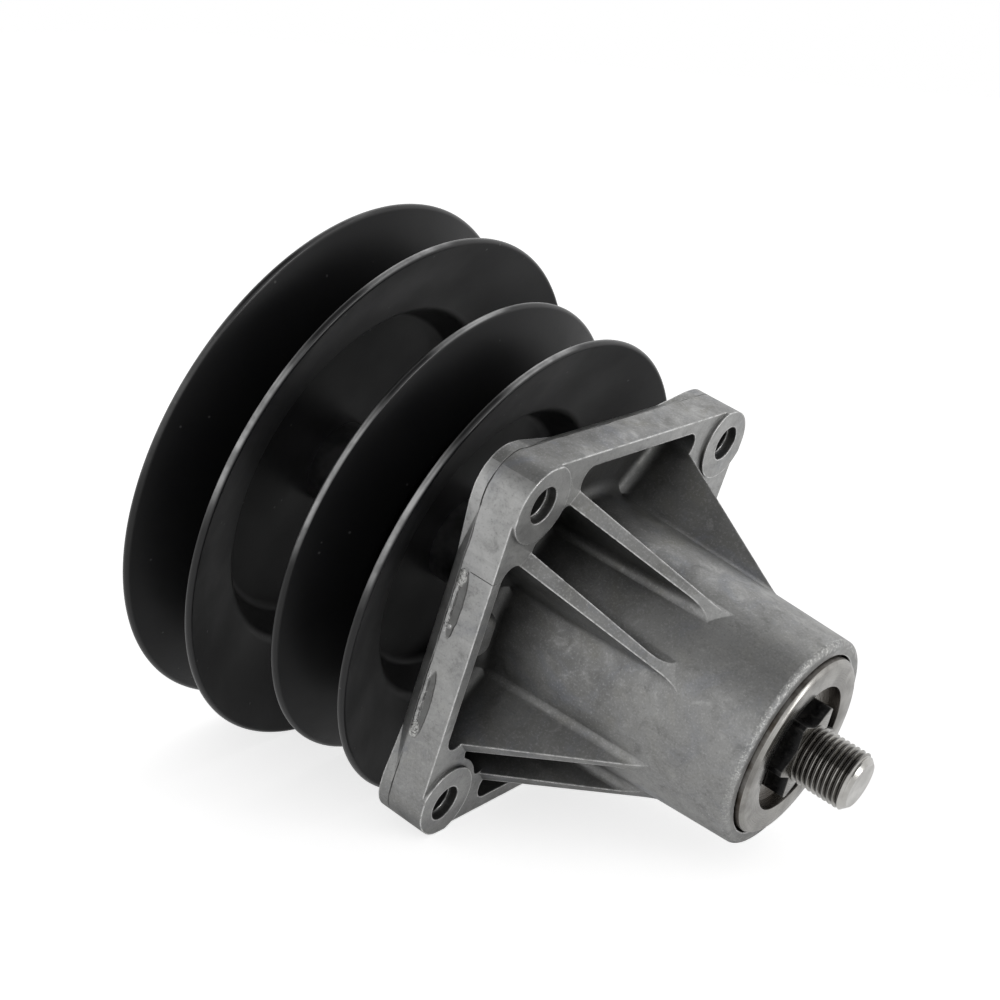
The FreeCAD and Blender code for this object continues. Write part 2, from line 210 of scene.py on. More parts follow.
shaftSizes = {  # mm and degrees
    "stubEnd": -84.7, "starEnd": -69.3, "recessFloor": -63.5, "ringFront": -67.1, "ringBack": -59.4,
    "bearingBase": -58.5, "journalTop": 95.2, "top": 114.0, "core": 6.9, "coreShort": 2.0, "recess": 17.7,
    "ring": 24.96, "ringChamfer": 1.0, "shoulder": 13.0, "journal": 9.98, "stubChamfer": 1.7,
    "topChamfer": 1.0, "overlap": 0.4, "round": 0.25, "roundSegments": 2, "roundAngle": 35, "steps": 192,
    "smoothAngle": 32, "ringSideStart": 18.7, "ringSideTilt": 0.3,
}
starSizes = {
    "tip": 12.8, "valley": 8.2, "tipWidth": 1.5, "turn": 50.0, "points": 6, "sink": 0.2,
    "round": 0.22, "roundSegments": 2, "roundAngle": 30, "endTilt": -0.9,
}
threadSizes = {  # the tooth's corners are shares of the pitch
    "pitch": 1.5, "root": 7.1, "crest": 7.95, "rootFlat": 0.2, "crestStart": 0.53, "crestEnd": 0.7,
    "spareTurns": 2, "spare": 0.5, "cut": 0.0001, "steps": 96,
}


def threadedRod(name, low, high, lowChamfer, highChamfer):
    t = threadSizes
    pitch, root, crest, spare = t["pitch"], t["root"], t["crest"], t["spare"]
    tooth = [(root, 0), (root, t["rootFlat"]), (crest, t["crestStart"]), (crest, t["crestEnd"]), (root, 1)]
    start = low - t["spareTurns"] * pitch
    rod = profile(name, [(r, start + share * pitch) for r, share in tooth])
    turns = math.ceil((high - low) / pitch) + 2 * t["spareTurns"]
    useModifier(rod, "SCREW", axis="Z", angle=2 * math.pi, screw_offset=pitch * mm, iterations=turns,
                steps=t["steps"], render_steps=t["steps"], use_merge_vertices=True, merge_threshold=weld)
    edit(rod)
    for height, normal in ((low, 1), (high, -1)):  # cut both ends flat and close them
        bpy.ops.mesh.select_all(action="SELECT")
        bpy.ops.mesh.bisect(plane_co=(0, 0, height * mm), plane_no=(0, 0, normal), use_fill=True,
                            clear_inner=True, threshold=t["cut"] * mm)
    cleanUp()
    outer = crest + spare
    envelope = profile(name + "_envelope", [
        (0, low - spare), (crest - lowChamfer - spare, low - spare), (outer, low + lowChamfer + spare),
        (outer, high - highChamfer - spare), (crest - highChamfer - spare, high + spare), (0, high + spare)])
    spinRound(t["steps"])
    useModifier(rod, "BOOLEAN", operation="INTERSECT", object=envelope, solver="EXACT")
    bpy.data.objects.remove(envelope)
    return rod


def starPrism(name):
    s = starSizes
    end = shaftSizes["starEnd"]
    half = math.degrees(math.asin(s["tipWidth"] / 2 / s["tip"]))
    step = 360 / s["points"]
    outline = []
    for point in range(s["points"]):
        for radius, offset in ((s["tip"], -half), (s["tip"], half), (s["valley"], step / 2)):
            turn = math.radians(s["turn"] + point * step + offset)
            outline.append((radius * math.cos(turn), radius * math.sin(turn), end))
    piece = drawLine(name, outline)
    bpy.ops.mesh.select_all(action="SELECT")
    bpy.ops.mesh.edge_face_add()
    height = (shaftSizes["recessFloor"] + s["sink"] - end) * mm
    bpy.ops.mesh.extrude_region_move(TRANSFORM_OT_translate={"value": (0, 0, height)})
    cleanUp()
    roundEdges(piece, s["round"], s["roundSegments"], s["roundAngle"])
    return piece


def shaftBody(name):
    s = shaftSizes
    coreEnd, coreTop = s["stubEnd"] + s["coreShort"], s["top"] - s["coreShort"]
    piece = profile(name, [
        (0, coreEnd), (s["core"], coreEnd), (s["core"], s["recessFloor"]), (s["recess"], s["recessFloor"]),
        (s["recess"], s["ringFront"]), (s["ring"] - s["ringChamfer"], s["ringFront"]),
        (s["ring"], s["ringFront"] + s["ringChamfer"]), (s["ring"], s["ringBack"]),
        (s["shoulder"], s["ringBack"]), (s["shoulder"], s["bearingBase"]), (s["journal"], s["bearingBase"]),
        (s["journal"], s["journalTop"]), (s["core"], s["journalTop"]), (s["core"], coreTop), (0, coreTop)])
    spinRound(s["steps"])
    roundEdges(piece, s["round"], s["roundSegments"], s["roundAngle"])
    return piece


shaft = shaftBody("shaft")
s = shaftSizes
star = starPrism("star")
stub = threadedRod("stub", s["stubEnd"], s["starEnd"] + s["overlap"], s["stubChamfer"], 0.0)
tail = threadedRod("tail", s["journalTop"] - s["overlap"], s["top"], 0.0, s["topChamfer"])
print("shaft pieces made")


# gate scars: ragged ridges torn off the runner, just under the parting line of the -X side

scarSizes = {  # mm and degrees; each piece has a form, a middle and a half length along Y
    "face": -53.75, "grain": 0.9, "grainDepth": 3, "level": 0.6, "segments": 48, "rings": 32, "smoothAngle": 25,
    "forms": {
        "ridge": {"height": 10.1, "thick": 0.4, "wide": 0.5, "ragged": 0.25},
        "flake": {"height": 9.6, "thick": 0.5, "wide": 1.15, "ragged": 0.5},
    },
    "pieces": {
        "upperScar": ("ridge", -14.0, 8.8), "lowerScar": ("ridge", 15.2, 9.4),
        "upperFlake": ("flake", -21.0, 2.3), "middleFlake": ("flake", -7.5, 0.7),
        "lowerFlake": ("flake", 23.4, 1.6),
    },
}


def scarRidge(name, form, y, length):
    s = scarSizes
    deselect()
    bpy.ops.mesh.primitive_uv_sphere_add(segments=s["segments"], ring_count=s["rings"], radius=mm)
    ridge = bpy.context.object
    ridge.name = ridge.data.name = name
    bpy.ops.object.mode_set(mode="EDIT")
    bpy.ops.mesh.select_all(action="SELECT")
    bpy.ops.transform.resize(value=(form["thick"], length, form["wide"]))
    bpy.ops.transform.translate(value=(s["face"] * mm, y * mm, form["height"] * mm))
    bpy.ops.object.mode_set(mode="OBJECT")
    clouds = bpy.data.textures.new(name, "CLOUDS")
    clouds.noise_scale = s["grain"] * mm
    clouds.noise_depth = s["grainDepth"]
    useModifier(ridge, "DISPLACE", texture=clouds, texture_coords="LOCAL", strength=form["ragged"] * mm,
                mid_level=s["level"])
    smooth(ridge, s["smoothAngle"])
    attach(ridge, "housing")
    return ridge


scarPieces = [scarRidge(name, scarSizes["forms"][form], y, length)
              for name, (form, y, length) in scarSizes["pieces"].items()]
print("scar ridges made:", len(scarPieces))


# shader helpers

def feed(tree, socket, value):  # link an output, or set a plain value
    if isinstance(value, bpy.types.NodeSocket):
        tree.links.new(value, socket)
    else:
        socket.default_value = value


def addNode(tree, kind, inputs=None, **settings):
    node = tree.nodes.new("ShaderNode" + kind)
    for key, value in settings.items():
        setattr(node, key, value)
    for key, value in (inputs or {}).items():
        feed(tree, node.inputs[key], value)
    return node


def noise(tree, where, scale, detail=4.0, roughness=0.55, distortion=0.0):
    return addNode(tree, "TexNoise", {
        "Vector": where, "Scale": scale, "Detail": detail, "Roughness": roughness,
        "Distortion": distortion}).outputs["Fac"]


def ramp(tree, value, low, high, toLow=0.0, toHigh=1.0):
    return addNode(tree, "MapRange", {
        "Value": value, "From Min": low, "From Max": high, "To Min": toLow, "To Max": toHigh},
        interpolation_type="SMOOTHSTEP").outputs["Result"]


def fade(tree, value, low, high, toLow=0.0, toHigh=1.0):  # a ramp between two places in mm
    return ramp(tree, value, low * mm, high * mm, toLow, toHigh)


def calc(tree, operation, a, b=0.0, c=0.0):
    return addNode(tree, "Math", {0: a, 1: b, 2: c}, operation=operation).outputs[0]


def times(tree, first, *others):
    for other in others:
        first = calc(tree, "MULTIPLY", first, other)
    return first


def most(tree, first, *others):
    for other in others:
        first = calc(tree, "MAXIMUM", first, other)
    return first


def diagonal(tree, a, b):  # of a rectangle with sides a and b
    return calc(tree, "SQRT", calc(tree, "ADD", times(tree, a, a), times(tree, b, b)))


def band(tree, value, middle, half, soft):  # one inside a band, fading over soft
    off = calc(tree, "ABSOLUTE", calc(tree, "SUBTRACT", value, middle * mm))
    return fade(tree, off, half + soft, half)


def blob(tree, xyz, y, z, halfLength, halfWidth):  # one at the middle, zero on the edge of an ellipse
    along = times(tree, calc(tree, "SUBTRACT", xyz["Y"], y * mm), 1 / (halfLength * mm))
    across = times(tree, calc(tree, "SUBTRACT", xyz["Z"], z * mm), 1 / (halfWidth * mm))
    return calc(tree, "SUBTRACT", 1.0, calc(tree, "ADD", times(tree, along, along), times(tree, across, across)))


def tint(tree, mask, a, b):  # mix two colours by a mask
    node = addNode(tree, "Mix", data_type="RGBA")
    for socket, value in ((0, mask), (6, a), (7, b)):  # factor and the two colours
        feed(tree, node.inputs[socket], value)
    return node.outputs[2]


def objectPlace(tree):
    return addNode(tree, "TexCoord").outputs["Object"]


def split(tree, vector):
    return addNode(tree, "SeparateXYZ", {0: vector}).outputs


def bump(tree, height, strength, distance, normal=None):
    inputs = {"Height": height, "Strength": strength, "Distance": distance}
    if normal is not None:
        inputs["Normal"] = normal
    return addNode(tree, "Bump", inputs).outputs[0]


def newGroup(name, inputs, outputs):  # all sockets are plain numbers
    group = bpy.data.node_groups.new(name, "ShaderNodeTree")
    for label, value in inputs.items():
        socket = group.interface.new_socket(label, in_out="INPUT", socket_type="NodeSocketFloat")
        socket.default_value = value
    for label in outputs:
        group.interface.new_socket(label, in_out="OUTPUT", socket_type="NodeSocketFloat")
    return group, group.nodes.new("NodeGroupInput").outputs, group.nodes.new("NodeGroupOutput").inputs


def useGroup(tree, group, **values):
    node = addNode(tree, "Group", node_tree=group)
    for key, value in values.items():
        feed(tree, node.inputs[key], value)
    return node.outputs


def newMaterial(name, **constants):
    material = bpy.data.materials.new(name)
    material.use_nodes = True
    tree = material.node_tree
    shader = tree.nodes["Principled BSDF"]
    for key, value in constants.items():
        shader.inputs[key].default_value = value
    return material, tree, shader.inputs


# shader groups

wearAndShadeSettings = {
    "reach": 0.0008, "break": 300.0, "breakDetail": 3.0, "patches": (0.3, 0.6, 0.25), "edge": (0.88, 0.58),
    "cornerShadeReach": 0.02, "hollow": (0.85, 0.25), "samples": 4,
}
dustSettings = {"scale": 900.0, "amount": 0.1, "dot": (0.22, 0.08)}
turningSettings = {"fine": 4200.0, "fineDetail": 2.0, "cloud": (140.0, 3.0)}


def edgeWearAndShadeGroup():  # bright, broken lines along outside edges, and painted shade in corners and hollows
    s = wearAndShadeSettings
    group, given, out = newGroup("edgeWearAndShade", {"Reach": s["reach"], "Break": s["break"]}, ("Worn", "CornerShade"))
    where = objectPlace(group)
    outside = addNode(group, "AmbientOcclusion", {"Distance": given["Reach"]}, inside=True, samples=s["samples"])
    # painted shade: ambient occlusion over this reach darkens corners and hollows
    hollow = addNode(group, "AmbientOcclusion", {"Distance": s["cornerShadeReach"]}, samples=s["samples"])
    edge = ramp(group, outside.outputs["AO"], *s["edge"])
    patchy = ramp(group, noise(group, where, given["Break"], s["breakDetail"]), *s["patches"])
    feed(group, out["Worn"], times(group, edge, patchy))
    feed(group, out["CornerShade"], ramp(group, hollow.outputs["AO"], *s["hollow"]))
    return group


def dustGroup():  # tiny pale specks
    s = dustSettings
    group, given, out = newGroup("dustSpecks", {"Scale": s["scale"], "Amount": s["amount"]}, ("Specks",))
    inputs = {"Vector": objectPlace(group), "Scale": given["Scale"]}
    cells = addNode(group, "TexVoronoi", inputs, feature="F1").outputs
    dot = ramp(group, cells["Distance"], *s["dot"])
    draw = addNode(group, "SeparateColor", {0: cells["Color"]}).outputs[0]
    feed(group, out["Specks"], times(group, dot, calc(group, "LESS_THAN", draw, given["Amount"])))
    return group


def turningGroup():  # fine rings left by the lathe
    s = turningSettings
    group, given, out = newGroup("turningMarks", {"Fine": s["fine"]}, ("Rings", "Cloud"))
    where = objectPlace(group)
    xyz = split(group, where)
    radius = diagonal(group, xyz["X"], xyz["Y"])
    line = addNode(group, "CombineXYZ", {"X": radius, "Y": xyz["Z"], "Z": 0.0}).outputs[0]
    feed(group, out["Rings"], noise(group, line, given["Fine"], s["fineDetail"]))
    feed(group, out["Cloud"], noise(group, where, *s["cloud"]))
    return group


edgeWearAndShade = edgeWearAndShadeGroup()
dustSpecks = dustGroup()
turningMarks = turningGroup()


# cast aluminium of the housing

castLook = {
    "dark": (0.17, 0.17, 0.166, 1), "light": (0.34, 0.34, 0.336, 1), "blue": (0.24, 0.25, 0.275, 1),
    "olive": (0.235, 0.231, 0.21, 1), "hollow": (0.025, 0.025, 0.024, 1), "burnishedHighlight": (0.97, 0.97, 0.96, 1),
    "paleMottleAndLight": (0.5, 0.5, 0.495, 1), "deep": (0.09, 0.09, 0.088, 1), "scarred": (0.12, 0.12, 0.117, 1),
    "flake": (0.8, 0.8, 0.78, 1), "line": (0.03, 0.029, 0.027, 1),
    "metal": 0.9, "soften": 0.5, "softenSamples": 4, "wearReach": 0.00045, "wearBreak": 500.0,
    "drawn": (1, 1, 0.07), "shifted": (0.31, 0.12, 0.07), "base": (0.2, 0.8),
    "litShares": {"face": 0.75, "side": 0.95, "hub": 0.35}, "litPatches": (1.2, 0.8, 0.45),
    "pitDark": (0.6, 0.72), "pitBright": (0.42, 0.3), "pocketShadeShare": 0.75, "cornerShadeShare": 0.68, "lensShare": 0.75,
    "rimChips": (0.5, 0.62, 0.0, 0.8), "flakeChips": (0.34, 0.56),
    "dull": (0.3, 0.75, 0.4, 0.56), "polish": -0.2,
    "blotRelief": 0.6, "grainRelief": 0.4, "skinStrength": 0.25, "skinDepth": 0.0002,
    "rimRelief": 0.4, "lensRelief": -0.4, "lineRelief": -0.5, "tornStrength": 0.9, "tornDepth": 0.0006,
}
castNoise = {  # scale, detail, roughness, distortion
    "cloud": (48.0, 6.0, 0.62, 0.3), "blot": (210.0, 5.0, 0.65, 0.6), "grain": (1700.0, 2.0, 0.6),
    "drag": (520.0, 3.0, 0.6), "stain": (70.0, 6.0, 0.68, 0.9), "rough": (1300.0, 6.0, 0.8),
}
castStains = (("stain", 0.5, 0.7, 0.75, "blue"), ("stain", 0.48, 0.3, 0.75, "olive"))
castMottling = (  # noise, where it starts, where it is full, share, colour
    ("blot", 0.52, 0.75, 0.5, "dark"), ("blot", 0.46, 0.25, 0.4, "paleMottleAndLight"), ("drag", 0.5, 0.75, 0.2, "dark"),
    ("grain", 0.52, 0.75, 0.4, "paleMottleAndLight"), ("grain", 0.45, 0.25, 0.4, "dark"),
)
castMarks = {  # places in mm; a fade gives where it is none and where it is full
    "sideSquare": 42.75, "sideFade": (9.0, 9.4), "leftSide": -50.0, "leftShade": (45.0, -15.0, 0.3),
    "wobble": 0.8, "wobbleNoise": (160.0, 3.0),
    "parting": (11.4, 0.04, 0.22), "partingNoise": (90.0, 2.0), "partingBreaks": (0.35, 0.6, 0.15),
    "witnessY": (-23.5, 0.03, 0.12), "witnessZ": (4.2, 3.6, 0.5), "witnessShare": 0.7,
    "rimHeight": (-62.8, -63.4), "rimRadius": (27.0, 27.6), "rimShade": (22.0, -8.0, 0.35),
    "pocketDepth": (2.0, 10.0), "pocketEnd": 11.6, "pocketWall": (48.5, 47.0),
    "facePlane": (0.4, 0.9, 0.3), "faceTilt": (-0.75, -0.95),
    "hubFade": (-22.0, -40.0), "hubRadius": 34.0, "proudFade": (-53.8, -53.9), "proudShare": 0.6,
    "pitHeight": (-46.0, -62.0, 0.0, 0.6), "pitShade": (-6.0, 16.0), "pitRadius": 27.0,
}
scarMarks = {  # each scar: middle and half length along Y, middle and half width along Z, torn end
    "scars": ((-13.6, 10.0, 8.8, 1.7, -21.0), (15.6, 10.2, 8.9, 1.6, 23.6)),
    "raggedNoise": (420.0, 5.0, 0.65), "raggedSpan": 1.4, "raggedBase": -0.7,
    "lensRagged": 0.5, "lensFade": (0.0, 0.3),
    "grooveRise": 0.75, "grooveWidth": 0.35, "grooveRagged": 2.2, "grooveFade": (0.5, 0.9), "grooveShare": 0.5,
    "flakeRise": 0.9, "flakeLength": 2.6, "flakeWidth": 1.5, "flakeFade": (0.1, 0.35),
}


def scarPlaces(tree, where, xyz):  # dull lens, dark groove and torn flakes of the gate scars
    s = scarMarks
    ragged = calc(tree, "MULTIPLY_ADD", noise(tree, where, *s["raggedNoise"]), s["raggedSpan"], s["raggedBase"])
    lenses, grooves, flakes = [], [], []
    for y, halfLength, z, halfWidth, end in s["scars"]:
        lens = blob(tree, xyz, y, z, halfLength, halfWidth)
        groove = blob(tree, xyz, y, z + s["grooveRise"], halfLength, s["grooveWidth"])
        flake = blob(tree, xyz, end, z + s["flakeRise"], s["flakeLength"], s["flakeWidth"])
        lenses.append(ramp(tree, calc(tree, "MULTIPLY_ADD", ragged, s["lensRagged"], lens), *s["lensFade"]))
        grooves.append(ramp(tree, calc(tree, "MULTIPLY_ADD", ragged, s["grooveRagged"], groove), *s["grooveFade"]))
        flakes.append(ramp(tree, calc(tree, "ADD", flake, ragged), *s["flakeFade"]))
    return most(tree, *lenses), most(tree, *grooves), most(tree, *flakes)


def castPlaces(tree, where):  # where the marks of the casting lie, and where light and shade are painted
    marks = castMarks
    xyz = split(tree, where)
    x, y, z = xyz["X"], xyz["Y"], xyz["Z"]
    radius = diagonal(tree, x, y)
    wobble = calc(tree, "MULTIPLY_ADD", noise(tree, where, *marks["wobbleNoise"]), marks["wobble"] * mm, z)
    reach = [calc(tree, "ABSOLUTE", value) for value in (x, y)]
    over = [most(tree, calc(tree, "SUBTRACT", value, marks["sideSquare"] * mm), 0.0) for value in reach]
    side = fade(tree, diagonal(tree, *over), *marks["sideFade"])
    left = times(tree, side, calc(tree, "LESS_THAN", x, marks["leftSide"] * mm))
    breaks = ramp(tree, noise(tree, where, *marks["partingNoise"]), *marks["partingBreaks"])
    parting = times(tree, band(tree, wobble, *marks["parting"]), breaks, side)
    witness = times(tree, band(tree, y, *marks["witnessY"]), band(tree, z, *marks["witnessZ"]))
    lens, groove, flake = [times(tree, value, left) for value in scarPlaces(tree, where, xyz)]
    facing = split(tree, addNode(tree, "TexCoord").outputs["Normal"])["Z"]
    proud = fade(tree, x, *marks["proudFade"])  # only the scar ridges stand past the side
    return {
        "lens": lens, "flake": flake,
        "line": most(tree, parting, times(tree, witness, left, marks["witnessShare"]),
                     times(tree, groove, scarMarks["grooveShare"])),
        "bare": calc(tree, "SUBTRACT", 1.0, times(tree, proud, marks["proudShare"])),
        # side, face and hub: places of painted light
        "side": times(tree, left, fade(tree, y, *marks["leftShade"])),
        "face": times(tree, band(tree, z, *marks["facePlane"]), ramp(tree, facing, *marks["faceTilt"])),
        "hub": times(tree, fade(tree, z, *marks["hubFade"]),
                     calc(tree, "LESS_THAN", radius, marks["hubRadius"] * mm)),
        "rim": times(tree, fade(tree, wobble, *marks["rimHeight"]), fade(tree, radius, *marks["rimRadius"]),
                     fade(tree, y, *marks["rimShade"])),
        # pocket floors, for painted shade
        "floor": times(tree, fade(tree, z, *marks["pocketDepth"]),
                       calc(tree, "LESS_THAN", z, marks["pocketEnd"] * mm),
                       fade(tree, most(tree, *reach), *marks["pocketWall"])),
        "pits": times(tree, fade(tree, wobble, *marks["pitHeight"]), fade(tree, y, *marks["pitShade"]),
                      calc(tree, "GREATER_THAN", radius, marks["pitRadius"] * mm)),
    }


def castLayers(tree, color, noises, layers):
    for name, low, high, share, over in layers:
        color = tint(tree, ramp(tree, noises[name], low, high, 0.0, share), color, castLook[over])
    return color


def castMaterial():
    look = castLook
    material, tree, shader = newMaterial("castAluminium", Metallic=look["metal"])
    where = objectPlace(tree)
    wearAndShade = useGroup(tree, edgeWearAndShade, Reach=look["wearReach"], Break=look["wearBreak"])
    places = castPlaces(tree, where)
    moved = {"drag": addNode(tree, "Mapping", {"Vector": where, "Scale": look["drawn"]}).outputs[0],
             "stain": addNode(tree, "Mapping", {"Vector": where, "Location": look["shifted"]}).outputs[0]}
    noises = {name: noise(tree, moved.get(name, where), *values) for name, values in castNoise.items()}
    rough = noises["rough"]
    color = tint(tree, ramp(tree, noises["cloud"], *look["base"]), look["dark"], look["light"])
    color = castLayers(tree, color, noises, castStains)
    # painted light: the flange's front face, its -X side and the hub are lightened in patches towards the pale
    # colour
    lit = most(tree, *[times(tree, places[key], share) for key, share in look["litShares"].items()])
    patches = ramp(tree, calc(tree, "ADD", noises["cloud"], noises["stain"]), *look["litPatches"])
    color = tint(tree, times(tree, lit, patches), color, look["paleMottleAndLight"])
    color = castLayers(tree, color, noises, castMottling)
    chips = tint(tree, ramp(tree, rough, *look["flakeChips"]), look["line"], look["flake"])
    for mask, over in (
            (times(tree, places["pits"], ramp(tree, rough, *look["pitDark"])), look["hollow"]),
            (times(tree, places["pits"], ramp(tree, rough, *look["pitBright"])), look["flake"]),
            # painted shade: the pocket floors go dark
            (times(tree, places["floor"], look["pocketShadeShare"]), look["deep"]),
            # painted shade: corners and hollows go near black
            (times(tree, wearAndShade["CornerShade"], look["cornerShadeShare"]), look["hollow"]),
            (times(tree, places["lens"], look["lensShare"]), look["scarred"]),
            # edge wear, brightened to near white so that it also paints highlights along the edges
            (times(tree, wearAndShade["Worn"], places["bare"]), look["burnishedHighlight"]),
            # chipped hub rim, its bright chips fading out towards +Y: partly a painted highlight on the upper side
            (times(tree, places["rim"], ramp(tree, rough, *look["rimChips"])), look["flake"]),
            (places["line"], look["line"]), (places["flake"], chips)):
        color = tint(tree, mask, color, over)
    feed(tree, shader["Base Color"], color)
    dull = ramp(tree, noises["blot"], *look["dull"])
    feed(tree, shader["Roughness"], calc(tree, "MULTIPLY_ADD", wearAndShade["Worn"], look["polish"], dull))
    soft = addNode(tree, "Bevel", {"Radius": look["soften"] * mm}, samples=look["softenSamples"]).outputs[0]
    skin = times(tree, noises["grain"], look["grainRelief"])
    skin = calc(tree, "MULTIPLY_ADD", noises["blot"], look["blotRelief"], skin)
    fine = bump(tree, skin, look["skinStrength"], look["skinDepth"], soft)
    torn = times(tree, most(tree, places["flake"], times(tree, places["rim"], look["rimRelief"])), rough)
    torn = calc(tree, "MULTIPLY_ADD", places["lens"], look["lensRelief"], torn)
    torn = calc(tree, "MULTIPLY_ADD", places["line"], look["lineRelief"], torn)
    feed(tree, shader["Normal"], bump(tree, torn, look["tornStrength"], look["tornDepth"], fine))
    return material


# black paint of the pulleys

paintLook = {  # each stretch of painted highlight gives a direction and a reach in degrees
    "black": (0.0105, 0.0105, 0.0112, 1), "dust": (0.2, 0.2, 0.2, 1), "rubbedHighlight": (0.4, 0.4, 0.4, 1),
    "shine": {"IOR": 1.45, "Specular IOR Level": 0.2, "Coat Roughness": 0.14}, "coat": 0.5,
    "split": 60.0, "rims": (68.6, 77.2), "rimDepth": (1.2, 0.5), "edgeDepth": (0.7, 0.1),
    "highlightRubs": ((206, 22), (253, 15)), "topFade": (89.0, 88.0, 0.25),
    "unevenNoise": (160.0, 3.0), "uneven": (0.3, 0.65, 0.55),
    "speckScale": 420.0, "speckAmount": 0.035, "speckShare": 0.35,
    "smearNoise": (45.0, 4.0), "smear": (0.3, 0.7, 0.36, 0.46),
    "peelNoise": (700.0, 3.0), "peelStrength": 0.12, "peelDepth": 0.0001,
}


def rimPlaces(tree, where):  # the rolled rims, and the stretches worn to bright bare metal that paint the highlights
    look = paintLook
    xyz = split(tree, where)
    radius = diagonal(tree, xyz["X"], xyz["Y"])
    upper = calc(tree, "GREATER_THAN", xyz["Z"], look["split"] * mm)
    low, high = look["rims"]
    depth = calc(tree, "SUBTRACT", calc(tree, "MULTIPLY_ADD", upper, (high - low) * mm, low * mm), radius)
    highlightRubs = []
    for turn, reach in look["highlightRubs"]:
        ahead = [math.cos(math.radians(turn)), math.sin(math.radians(turn))]
        along = calc(tree, "ADD", times(tree, xyz["X"], ahead[0]), times(tree, xyz["Y"], ahead[1]))
        along = calc(tree, "DIVIDE", along, radius)
        highlightRubs.append(ramp(tree, along, math.cos(math.radians(reach)), 1.0))
    uneven = ramp(tree, noise(tree, where, *look["unevenNoise"]), *look["uneven"])
    rubbedHighlight = times(tree, fade(tree, depth, *look["edgeDepth"]), most(tree, *highlightRubs), uneven,
                   fade(tree, xyz["Z"], *look["topFade"]))
    return fade(tree, depth, *look["rimDepth"]), rubbedHighlight


def paintMaterial():
    look = paintLook
    material, tree, shader = newMaterial("blackPaint", **look["shine"])
    where = objectPlace(tree)
    specks = useGroup(tree, dustSpecks, Scale=look["speckScale"], Amount=look["speckAmount"])["Specks"]
    rim, rubbedHighlight = rimPlaces(tree, where)
    # painted highlight: bright bare metal along the rims where they face the light
    color = tint(tree, rubbedHighlight, look["black"], look["rubbedHighlight"])
    color = tint(tree, times(tree, specks, look["speckShare"]), color, look["dust"])
    feed(tree, shader["Base Color"], color)
    feed(tree, shader["Metallic"], rubbedHighlight)
    feed(tree, shader["Coat Weight"], times(tree, rim, look["coat"]))
    feed(tree, shader["Roughness"], ramp(tree, noise(tree, where, *look["smearNoise"]), *look["smear"]))
    peel = noise(tree, where, *look["peelNoise"])
    feed(tree, shader["Normal"], bump(tree, peel, look["peelStrength"], look["peelDepth"]))
    return material


# steel of the shaft

steelLook = {
    "bright": (0.42, 0.41, 0.39, 1), "dull": (0.23, 0.222, 0.21, 1), "black": (0.01, 0.01, 0.0105, 1),
    "brownShade": (0.075, 0.062, 0.05, 1), "root": (0.075, 0.071, 0.066, 1), "crest": (0.6, 0.59, 0.57, 1),
    "mix": (0.3, 0.7), "finest": 0.00005,  # usual span of a noise, and the depth of fine marks
}
turnedLook = {
    "shine": {"Metallic": 1.0, "Anisotropic": 0.6}, "fine": 5200.0, "wearReach": 0.0005, "wearBreak": 600.0,
    "rings": (0.45, 0.7, 0.0, 0.5), "cornerShadeShare": 0.7, "wornShare": 0.5, "rough": (0.17, 0.3), "strength": 0.12,
}
threadLook = {  # radii in mm
    "fine": 3800.0, "unevenNoise": (600.0, 3.0), "uneven": 0.25, "flank": (7.24, 7.72), "endTilt": 0.97,
    "rough": (0.16, 0.27), "strength": 0.1,
}
ringSideLook = {
    "metal": 0.8, "noise": (160.0, 5.0, 0.65), "mix": (0.35, 0.7), "rough": (0.3, 0.5),
    "strength": 0.15, "depth": 0.0001,
}
starSideLook = {
    "metal": 0.6, "wearReach": 0.0004, "wearBreak": 900.0, "noise": (900.0, 4.0), "scale": (0.5, 0.75, 0.0, 0.4),
    "wornShare": 0.75, "rough": (0.25, 0.45), "strength": 0.2,
}


def turnedMaterial():
    steel, look = steelLook, turnedLook
    material, tree, shader = newMaterial("turnedSteel", **look["shine"])
    marks = useGroup(tree, turningMarks, Fine=look["fine"])
    wearAndShade = useGroup(tree, edgeWearAndShade, Reach=look["wearReach"], Break=look["wearBreak"])
    color = tint(tree, ramp(tree, marks["Cloud"], *steel["mix"]), steel["dull"], steel["bright"])
    color = tint(tree, ramp(tree, marks["Rings"], *look["rings"]), color, steel["dull"])
    # painted shade: corners and hollows go dark brown
    color = tint(tree, times(tree, wearAndShade["CornerShade"], look["cornerShadeShare"]), color, steel["brownShade"])
    color = tint(tree, times(tree, wearAndShade["Worn"], look["wornShare"]), color, steel["crest"])
    feed(tree, shader["Base Color"], color)
    feed(tree, shader["Roughness"], ramp(tree, marks["Rings"], *steel["mix"], *look["rough"]))
    feed(tree, shader["Tangent"], addNode(tree, "Tangent", direction_type="RADIAL", axis="Z").outputs[0])
    feed(tree, shader["Normal"], bump(tree, marks["Rings"], look["strength"], steel["finest"]))
    return material


